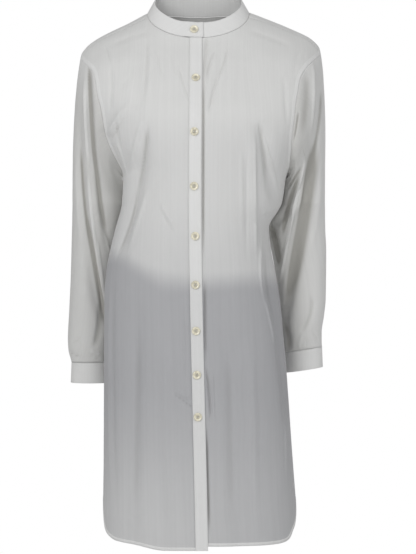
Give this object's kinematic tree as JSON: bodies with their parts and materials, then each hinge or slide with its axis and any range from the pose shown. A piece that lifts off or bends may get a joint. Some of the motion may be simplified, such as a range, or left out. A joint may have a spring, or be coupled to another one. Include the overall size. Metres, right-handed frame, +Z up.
{
  "type": "shirt dress",
  "caption": "White cotton shirt dress in its hollow worn shape, with a band collar, buttoned front band, long cuffed sleeves, back yoke and curved shirt-tail hem.",
  "frame": {"origin": "middle of the neck opening, level with the tops of the shoulders that carry the dress", "axes": "+Z up, -Y out of the buttoned front, +X towards the wearer's left"},
  "size_m": [0.4856, 0.2692, 1.013],
  "materials": {
    "cotton": "thin white cotton voile, matt, slightly see-through",
    "cotton_doubled": "the same cotton folded double over interfacing, matt, whiter",
    "shell_button": "cream, shell-like, satin gloss"
  },
  "bodies": {
    "root": {"front_right": "cotton", "front_left": "cotton", "back": "cotton", "yoke": "cotton", "sleeve_right": "cotton", "sleeve_left": "cotton", "cuff_right": "cotton_doubled", "cuff_left": "cotton_doubled", "collar": "cotton_doubled", "band_upper": "cotton_doubled", "band_under": "cotton_doubled", "button_collar": "shell_button", "button_front_1": "shell_button", "button_front_2": "shell_button", "button_front_3": "shell_button", "button_front_4": "shell_button", "button_front_5": "shell_button", "button_front_6": "shell_button", "button_front_7": "shell_button", "button_front_8": "shell_button", "button_cuff_right": "shell_button", "button_cuff_left": "shell_button"}
  },
  "joints": []
}
